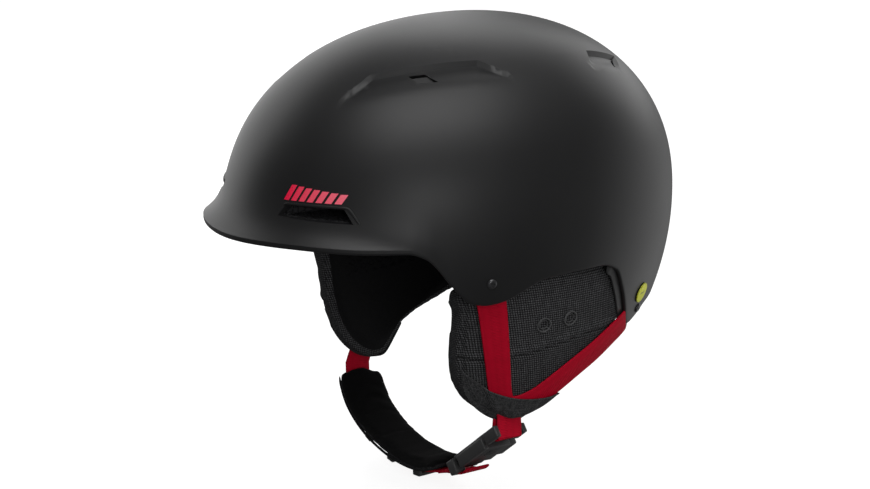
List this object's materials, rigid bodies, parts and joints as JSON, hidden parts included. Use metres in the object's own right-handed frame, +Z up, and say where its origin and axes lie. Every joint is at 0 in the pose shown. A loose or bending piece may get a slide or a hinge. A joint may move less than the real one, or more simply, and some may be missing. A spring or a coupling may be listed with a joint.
{
  "type": "ski helmet",
  "caption": "Hard-shell snow helmet with a flared brim, foam liner, soft ear pads, webbing straps, padded chin strap with magnetic buckle, rear fit dial and goggle clip.",
  "frame": {"origin": "centre of the head cavity, level with the widest part of the dome, on the mid-plane", "axes": "+Z up, the wearer faces -Y, the wearer's left side is +X"},
  "size_m": [0.217, 0.2961, 0.2703],
  "materials": {
    "shell": "matte black moulded plastic with a fine soft texture",
    "foam": "dark expanded foam with a fine bead pattern",
    "slip": "thin smooth dark low-friction sheet",
    "lining": "soft black brushed lining",
    "pad_cloth": "coarse charcoal heathered weave",
    "webbing": "deep red ribbed polyester webbing",
    "plastic": "dark grey moulded nylon",
    "steel": "dark plated steel",
    "label": "plain yellow-green printed label",
    "rubber": "black moulded rubber"
  },
  "bodies": {
    "helmet": {"outer_shell": "shell", "eps_liner": "foam", "slip_liner": "slip", "slip_anchor_1": "rubber", "slip_anchor_2": "rubber", "slip_anchor_3": "rubber", "slip_anchor_4": "rubber", "brow_pad": "lining", "side_pad_left": "lining", "side_pad_right": "lining", "crown_pad": "lining", "front_rivet_left": "steel", "front_rivet_right": "steel", "rear_rivet_left": "steel", "rear_rivet_right": "steel", "ear_pad_left": "pad_cloth", "ear_pad_right": "pad_cloth", "strap_sleeve_left": "pad_cloth", "strap_sleeve_right": "pad_cloth", "pad_eyelet_left_1": "plastic", "pad_eyelet_left_2": "plastic", "pad_eyelet_right_1": "plastic", "pad_eyelet_right_2": "plastic", "front_strap_left": "webbing", "front_strap_right": "webbing", "rear_strap_left": "webbing", "rear_strap_right": "webbing", "lower_strap_left": "webbing", "lower_strap_right": "webbing", "buckle_base": "plastic", "buckle_magnet_base": "steel", "hanger_bracket": "plastic", "hanger_pin": "steel", "goggle_clip_base": "plastic", "goggle_clip_pin": "steel", "round_label": "label"},
    "chin_half": {"chin_strap": "webbing", "strap_tail": "webbing", "chin_pad": "pad_cloth", "strap_keeper_1": "plastic", "strap_keeper_2": "plastic", "strap_keeper_3": "plastic", "buckle_cover": "plastic", "buckle_magnet_cover": "steel"},
    "cradle": {"fit_hanger": "plastic", "fit_cradle": "plastic", "cradle_cover": "plastic", "nape_pad": "lining"},
    "dial": {"fit_dial": "rubber"},
    "arm_left": {"fit_arm_left": "plastic"},
    "arm_right": {"fit_arm_right": "plastic"},
    "clip": {"goggle_clip": "plastic"}
  },
  "joints": [
    {"name": "chin_strap_swing", "type": "hinge", "parent": "helmet", "child": "chin_half", "pos_m": [-0.0783, -0.0314, -0.1191], "axis": [0, 1, 0], "range_deg": [0, 65]},
    {"name": "fit_height", "type": "hinge", "parent": "helmet", "child": "cradle", "pos_m": [0, 0.088, -0.024], "axis": [1, 0, 0], "range_deg": [-6, 5]},
    {"name": "dial_turn", "type": "hinge", "parent": "cradle", "child": "dial", "pos_m": [0, 0.091, -0.084], "axis": [0, 1, 0], "range_deg": [-90, 90]},
    {"name": "arm_left_slide", "type": "slide", "parent": "cradle", "child": "arm_left", "axis": [1, 0, 0], "range_m": [-0.0055, 0.0055]},
    {"name": "arm_right_slide", "type": "slide", "parent": "cradle", "child": "arm_right", "axis": [1, 0, 0], "range_m": [-0.0055, 0.0055]},
    {"name": "goggle_clip_hinge", "type": "hinge", "parent": "helmet", "child": "clip", "pos_m": [0, 0.12806, -0.014], "axis": [1, 0, 0], "range_deg": [0, 35], "stiffness_Nm_per_rad": 0.05}
  ],
  "couplings": [
    {"joint": "arm_left_slide", "follows": "dial_turn", "m_per_rad": 0.0032},
    {"joint": "arm_right_slide", "follows": "dial_turn", "m_per_rad": -0.0032}
  ]
}
